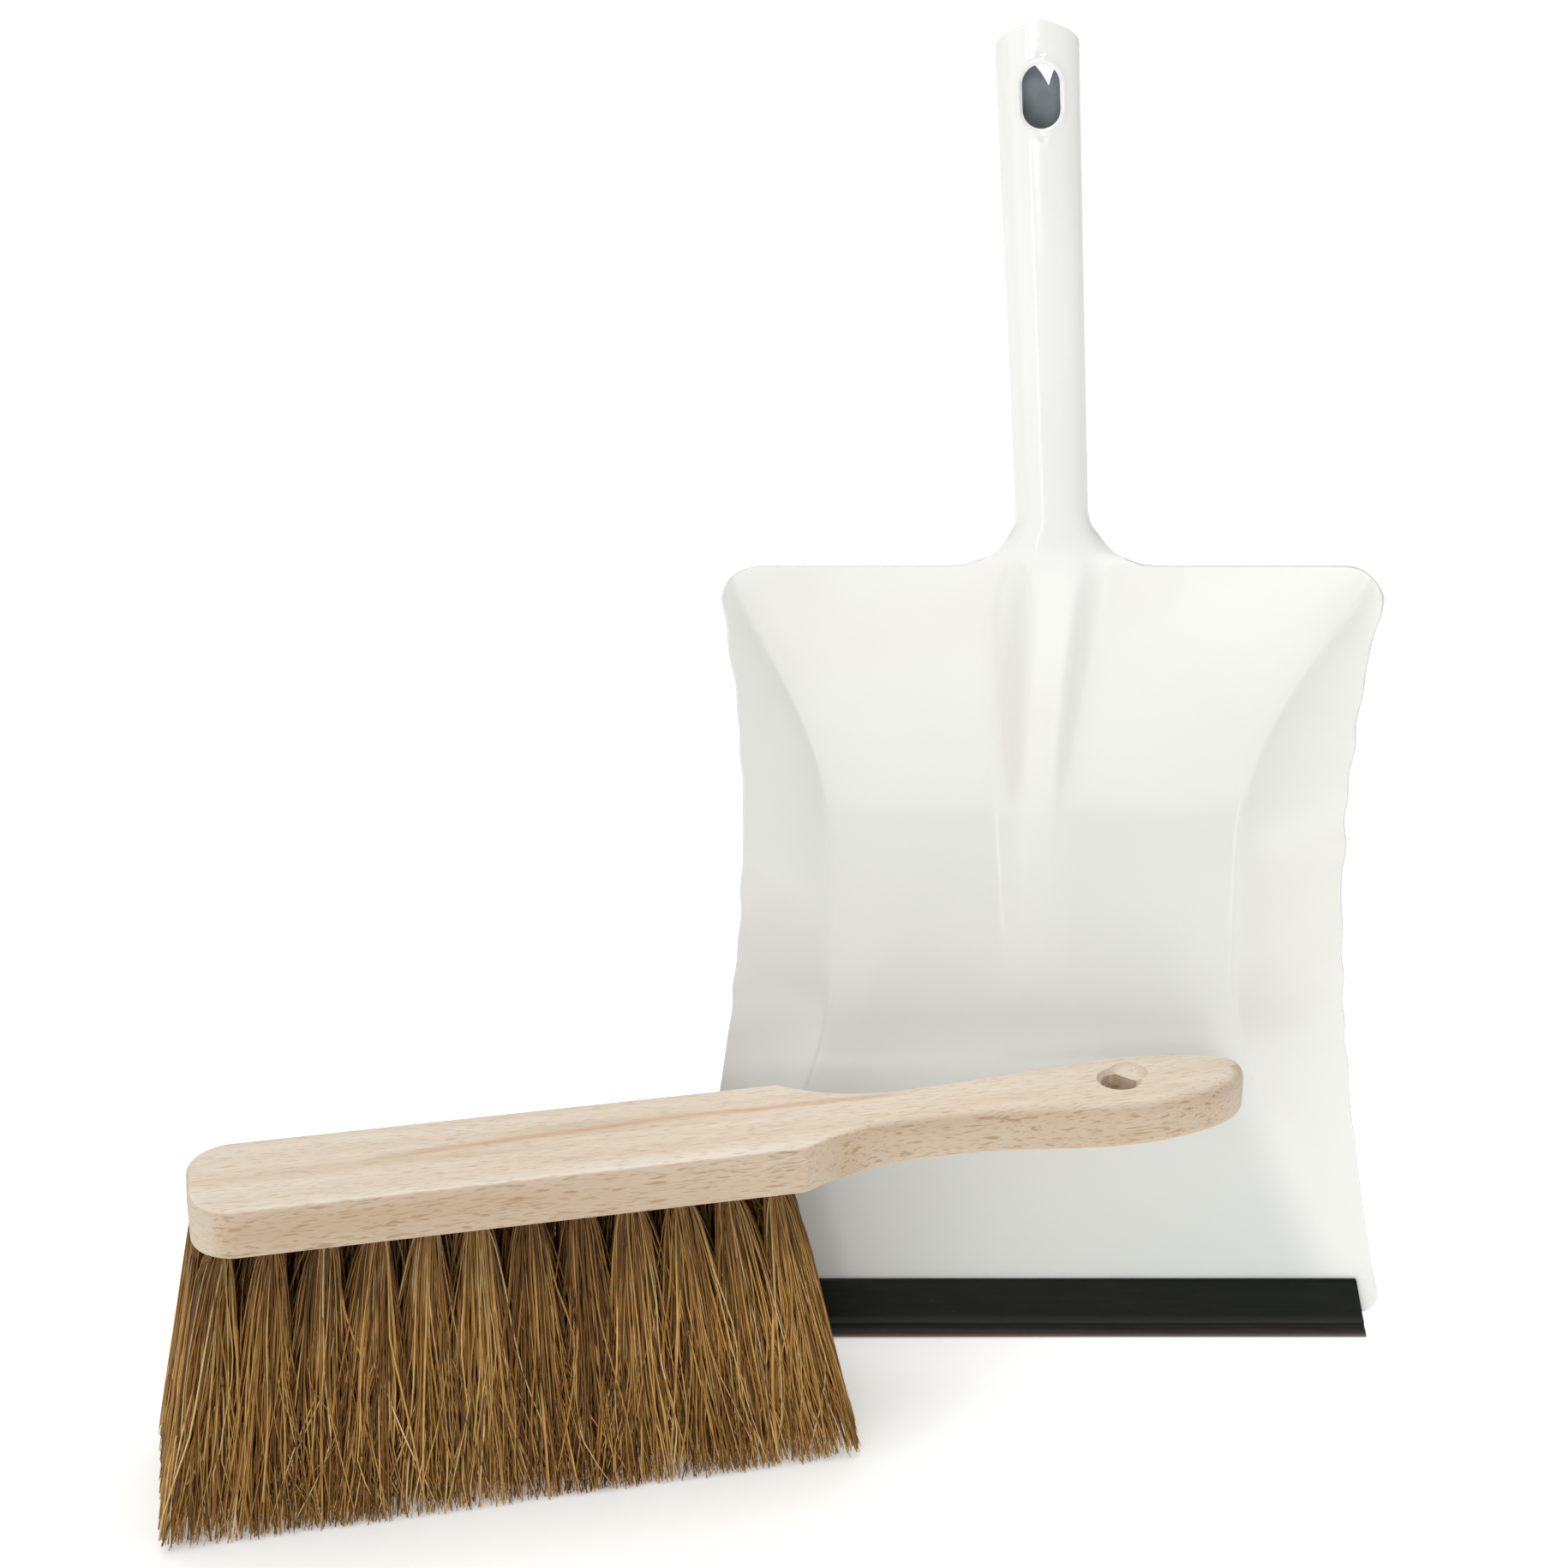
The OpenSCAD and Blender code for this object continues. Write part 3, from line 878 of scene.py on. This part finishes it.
def build_block():
    outline = block_outline()
    normal = outward(outline)
    u, v = outline[:, 0], outline[:, 1]
    on_grip = smooth(clamp01((u - HEAD_LEN - 2) / 38))
    near = v < 0
    top_r = np.where(near, mix(1.9, 6.8, on_grip), mix(1.9, 4.2, on_grip))
    foot_r = mix(1.4, 3.4, on_grip)
    low, high = BRISTLE_H, BRISTLE_H + BLOCK_T

    rings = []
    quarter = np.linspace(0, np.pi / 2, 8)
    for angle in quarter[::-1]:
        inset = outline - normal * (foot_r * (1 - np.cos(angle)))[:, None]
        rings.append(np.column_stack([inset, low + foot_r * (1 - np.sin(angle))]))
    for share in (0.33, 0.67):
        rings.append(np.column_stack([outline, mix(low + foot_r, high - top_r, share)]))
    for angle in quarter:
        inset = outline - normal * (top_r * (1 - np.cos(angle)))[:, None]
        rings.append(np.column_stack([inset, high - top_r * (1 - np.sin(angle))]))

    skin = loft_faces(len(rings), len(outline))
    block = new_object("brush_block_beech", np.vstack(rings), skin, brush_place)

    # The bores start 2 mm below the block, so that they open cleanly.
    bore_middle = low + BORE_DEPTH / 2 - 1
    cut_block(block, [
        cone_cutter("bore", (*tuft_centre(row, i), bore_middle), BORE_R, BORE_R, BORE_DEPTH + 2)
        for row in range(ROWS) for i in range(TUFTS)
    ])
    cut_block(block, [cone_cutter("hole", (HOLE_U, 0, (low + high) / 2), HOLE_R, HOLE_R, BLOCK_T + 4)])
    # The countersink's cone goes on for 1 mm above the top.
    sink_middle = high - COUNTERSINK / 2 + 0.5
    sink_top_r = HOLE_R + COUNTERSINK + 1
    cut_block(block, [
        cone_cutter("sink", (HOLE_U, 0, sink_middle), HOLE_R - 0.01, sink_top_r, COUNTERSINK + 1)
    ])
    # A shallow scoop beside the hole, where the drill tore the wood.
    scoop_middle = high + SCOOP_R - SCOOP_DEPTH
    cut_block(block, [ball_cutter("scoop", (HOLE_U + 4.5, 4, scoop_middle), SCOOP_R)])
    block.data.materials.clear()
    block.data.materials.append(beech_material())
    soften(block, 38)
    finish_piece(block, "brush", "beech", "brush_block")


# ---------------------------------------------------------------- the tufts

TUFT_R = 3.3
ROOT_DEPTH = 7.8
FIBRE_R = 0.235
FULL_TUFT = 250
THIN_TUFT = 140
STRAY_SHARE = 0.06

# At the tips each tuft has its own cell, and no fibre goes past the brush's outline.
CELL_U = (HEAD_LEN + 30) / TUFTS
CELL_V = (2 * HEAD_HALF + 18) / ROWS
FOOT_START = -15.5
REACH_U = (-17.0, HEAD_LEN + 16.0)
REACH_V = HEAD_HALF + 9.5
TIP_SCATTER = (4.4, 3.2)

# Rings along a fibre: the root in its bore, three close ones at the block, and then even steps.
RINGS = 14
RING_AT = np.concatenate([[-0.08, 0.0, 0.03, 0.08], np.linspace(0.08, 1, RINGS - 3)[1:]])
RING_DOWN = clamp01(RING_AT)


def fibre_paths(rng, row, i, count):
    """Centre lines of a tuft's fibres, bore to tips, as (count, RINGS, 3) in brush millimetres."""
    centre = np.array(tuft_centre(row, i))
    foot = np.array([CELL_U * (i + 0.5) + FOOT_START, CELL_V * (row - 1.5)])
    radius = TUFT_R * np.sqrt(rng.uniform(0, 1, count))
    angle = rng.uniform(0, 2 * np.pi, count)
    spread = np.stack([radius * np.cos(angle), radius * np.sin(angle)], axis=1)
    fan = rng.uniform(0.9, 1.25)
    foot[1] += 2.5 * np.sign(row - 1.5) * (row in (0, ROWS - 1))
    foot = foot + rng.normal(0, 1, 2) * (2.0, 1.2)
    loose = np.where(rng.uniform(0, 1, (count, 1)) < 0.35, 1.9, 1.0)
    fill = (CELL_U / (2 * TUFT_R), CELL_V / (2 * TUFT_R))
    tip = foot + fan * spread * fill + rng.normal(0, 1, (count, 2)) * TIP_SCATTER * loose
    tip[:, 0] = np.clip(tip[:, 0], *REACH_U)
    tip[:, 1] = np.clip(tip[:, 1], -REACH_V, REACH_V)

    tip_z = np.abs(rng.normal(0, 1, count)) * 1.5 + 0.2
    tip_z = np.where(rng.uniform(0, 1, count) < 0.08, tip_z + rng.uniform(2, 9, count), tip_z)
    outer = clamp01((np.abs(tip[:, 0] - HEAD_LEN / 2) - 88) / 20)
    tip_z = tip_z + 3.5 * outer ** 2 * rng.uniform(0.3, 1, count)

    down = RING_DOWN
    # The inner rows spread at once below the block, and close the gaps between the near tufts.
    quick, slow = (0.75, 1.15) if row == 0 else (0.42, 0.75)
    power = rng.uniform(quick, slow, count)[:, None]
    lead = down[None, :] ** power
    start = centre + spread
    xy = start[:, None, :] + (tip - start)[:, None, :] * lead[:, :, None]
    bulge = 1.3 if row == 0 else 3.8
    burst = bulge * (1 - np.exp(-down * BRISTLE_H / 3.5)) * (1 - 0.6 * down)
    xy[:, :, 0] += spread[:, :1] / TUFT_R * burst

    # Every fibre curls a little, some kink, and a few stray.
    for axis in range(2):
        depth = 1.15 * rng.lognormal(0, 0.6, count)[:, None]
        turns = rng.uniform(0.5, 2.0, count)[:, None]
        phase = rng.uniform(0, 2 * np.pi, count)[:, None]
        curl = np.sin(2 * np.pi * turns * down + phase) - np.sin(phase) * (1 - down)
        xy[:, :, axis] += depth * down * curl
    kinked = rng.uniform(0, 1, count)
    stray = kinked < STRAY_SHARE
    size = np.where(stray, 38.0, np.where(kinked < 0.5, 20.0, 0.0))
    kink_at = rng.uniform(0.35, 0.85, count)[:, None]
    direction = rng.uniform(-1, 1, (count, 2)) * size[:, None]
    xy += np.maximum(0, down[None, :] - kink_at)[:, :, None] * direction[:, None, :]
    # The whole brush widens evenly from the edge of the block to the tips.
    slack = rng.uniform(0, 2.5, count)[:, None]
    left = mix(1.0, REACH_U[0], down) + slack
    right = mix(HEAD_LEN - 2, REACH_U[1], down) - slack
    side = mix(HEAD_HALF - 2, REACH_V, down) - slack
    xy[:, :, 0] = np.clip(xy[:, :, 0], left, right)
    xy[:, :, 1] = np.clip(xy[:, :, 1], -side, side)

    z = np.where(RING_AT < 0, BRISTLE_H + ROOT_DEPTH, mix(BRISTLE_H, tip_z[:, None], down))
    z[:, 1] = BRISTLE_H
    return np.concatenate([xy, z[:, :, None]], axis=2), stray


def build_tuft(rng, row, i, material):
    """One tuft as thin three-sided tubes. The tufts in front and at the ends have more fibres."""
    near_row = row == 0
    end_column = i in (0, TUFTS - 1)
    count = FULL_TUFT if near_row or end_column else THIN_TUFT
    path, stray = fibre_paths(rng, row, i, count)
    radius = FIBRE_R * rng.lognormal(0, 0.3, count) + np.where(stray, 0.05, 0)
    taper = np.concatenate([np.linspace(1.0, 0.95, RINGS - 1), [0.7]])
    spin = rng.uniform(0, 2 * np.pi, count)[:, None] + np.arange(3) * 2 * np.pi / 3
    ring = np.stack([np.cos(spin), np.sin(spin), np.zeros_like(spin)], axis=-1)
    points = path[:, :, None, :] + ring[:, None, :, :] * (radius[:, None] * taper)[:, :, None, None]
    points = points.reshape(-1, 3)
    points[:, 2] = np.maximum(points[:, 2], 0.05)

    first = (np.arange(count) * RINGS * 3)[:, None, None]
    j = (np.arange(RINGS - 1) * 3)[None, :, None]
    k = np.arange(3)[None, None, :]
    after = (k + 1) % 3
    base = first + j
    quads = np.stack([base + k, base + 3 + k, base + 3 + after, base + after], axis=-1).reshape(-1, 4)
    tips = (first[:, :, 0] + (RINGS - 1) * 3) + np.array([0, 2, 1])
    roots = first[:, :, 0] + np.array([0, 1, 2])
    faces = quads.tolist() + tips.tolist() + roots.tolist()

    name = f"coir_row{row + 1}_{i + 1:02d}"
    tuft = new_object(name, points, faces, brush_place)
    tone = np.clip(rng.beta(1.5, 1.6, count) * 0.95 + rng.normal(0, 0.06), 0, 0.95)
    tone = np.where(stray, rng.uniform(0.75, 1.0, count), tone)
    per_point = {"tone": np.repeat(tone, RINGS * 3), "along": np.tile(np.repeat(RING_DOWN, 3), count)}
    for label, values in per_point.items():
        layer = tuft.data.attributes.new(label, "FLOAT", "POINT")
        layer.data.foreach_set("value", values.astype(np.float32))
    tuft.data.materials.append(material)
    tuft.data.shade_smooth()
    finish_piece(tuft, "brush", "coir", f"tuft_row{row + 1}_{i + 1:02d}")


def build_tufts():
    material = coir_material()
    rng = np.random.default_rng(SEED + 2)
    for row in range(ROWS):
        for i in range(TUFTS):
            build_tuft(rng, row, i, material)


def dress_anchors():
    anchors = frame["nodes"]["tuft_anchors"]
    anchors.data.materials.clear()
    anchors.data.materials.append(wire_material())


# ---------------------------------------------------------------- floor, light and camera

CAMERA_PITCH = math.radians(22.2)
CAMERA_DISTANCE = 0.8
CAMERA_TARGET = Vector((-0.0037, 0.0185, 0.207))
CAMERA_LENS = 59.73
FLOOR_HALF_SIZE = 6
SHADOW_CENTRE = (-0.1, -0.03)


def build_camera():
    data = bpy.data.cameras.new("camera")
    data.sensor_width = 36
    data.lens = CAMERA_LENS
    data.clip_start = 0.05
    data.clip_end = 60
    camera = bpy.data.objects.new("camera", data)
    bpy.context.scene.collection.objects.link(camera)
    back = Vector((0, -math.cos(CAMERA_PITCH), math.sin(CAMERA_PITCH)))
    camera.location = CAMERA_TARGET + back * CAMERA_DISTANCE
    camera.rotation_euler = (math.pi / 2 - CAMERA_PITCH, 0, 0)
    bpy.context.scene.camera = camera


def new_light(name, kind, place, target, power):
    """A light at a place, turned to face its target. Its data is returned."""
    data = bpy.data.lights.new(name, kind)
    data.energy = power
    light = bpy.data.objects.new(name, data)
    bpy.context.scene.collection.objects.link(light)
    light.location = place
    light.rotation_euler = (Vector(target) - Vector(place)).to_track_quat("-Z", "Y").to_euler()
    return data


def area_light(name, place, target, size, power):
    data = new_light(name, "AREA", place, target, power)
    data.shape = "RECTANGLE"
    data.size, data.size_y = size
    data.color = (1.0, 0.985, 0.95)


def spot_light(name, place, target, degrees, softness, power):
    data = new_light(name, "SPOT", place, target, power)
    data.spot_size = math.radians(degrees)
    data.spot_blend = 1.0
    data.shadow_soft_size = softness


def build_studio():
    """A white floor that glows less round the foot of the set, an even world, and four lights."""
    mesh = bpy.data.meshes.new("floor")
    signs = ((-1, -1), (1, -1), (1, 1), (-1, 1))
    mesh.from_pydata([(x * FLOOR_HALF_SIZE, y * FLOOR_HALF_SIZE, 0) for x, y in signs], [], [(0, 1, 2, 3)])
    floor = bpy.data.objects.new("floor", mesh)
    bpy.context.scene.collection.objects.link(floor)
    paper = Nodes("paper_white")
    place = paper.coords()
    across = paper.math("SUBTRACT", paper.axis(place, 0), SHADOW_CENTRE[0])
    away = paper.math("SUBTRACT", paper.axis(place, 1), SHADOW_CENTRE[1])
    distance = paper.math("ADD", paper.math("MULTIPLY", across, across), paper.math("MULTIPLY", away, away))
    paper.set(
        Base_Color=(0.92, 0.92, 0.915),
        Roughness=0.9,
        Specular_IOR_Level=0.1,
        Emission_Color=(1.0, 1.0, 1.0),
        Emission_Strength=paper.between(distance, 0.010, 0.05, 0.27, 0.62),
    )
    mesh.materials.append(paper.material)

    world = bpy.data.worlds.new("studio")
    bpy.context.scene.world = world
    world.use_nodes = True
    background = world.node_tree.nodes["Background"]
    background.inputs["Color"].default_value = (0.985, 1.0, 1.015, 1.0)
    background.inputs["Strength"].default_value = 0.42

    middle = Vector((0.05, 0.05, 0.18))
    area_light("key", (-1.1, -1.6, 1.0), middle, (1.8, 1.4), 6.5)
    area_light("top", (-0.2, 0.15, 1.9), (-0.05, 0.0, 0.1), (1.2, 1.2), 16)
    spot_light("glow", (0.0, -1.85, 0.95), (0.06, 0.05, 0.27), 12, 0.35, 74)
    # A tall thin strip draws the fine highlight down the handle.
    area_light("strip", middle + Vector((-0.34, -1.81, 0.85)), middle, (0.05, 2.2), 3.2)
    bpy.context.scene.view_settings.view_transform = "Standard"


build_camera()
build_studio()
build_pan()
build_lip()
build_block()
build_tufts()
dress_anchors()

bpy.context.view_layer.update()
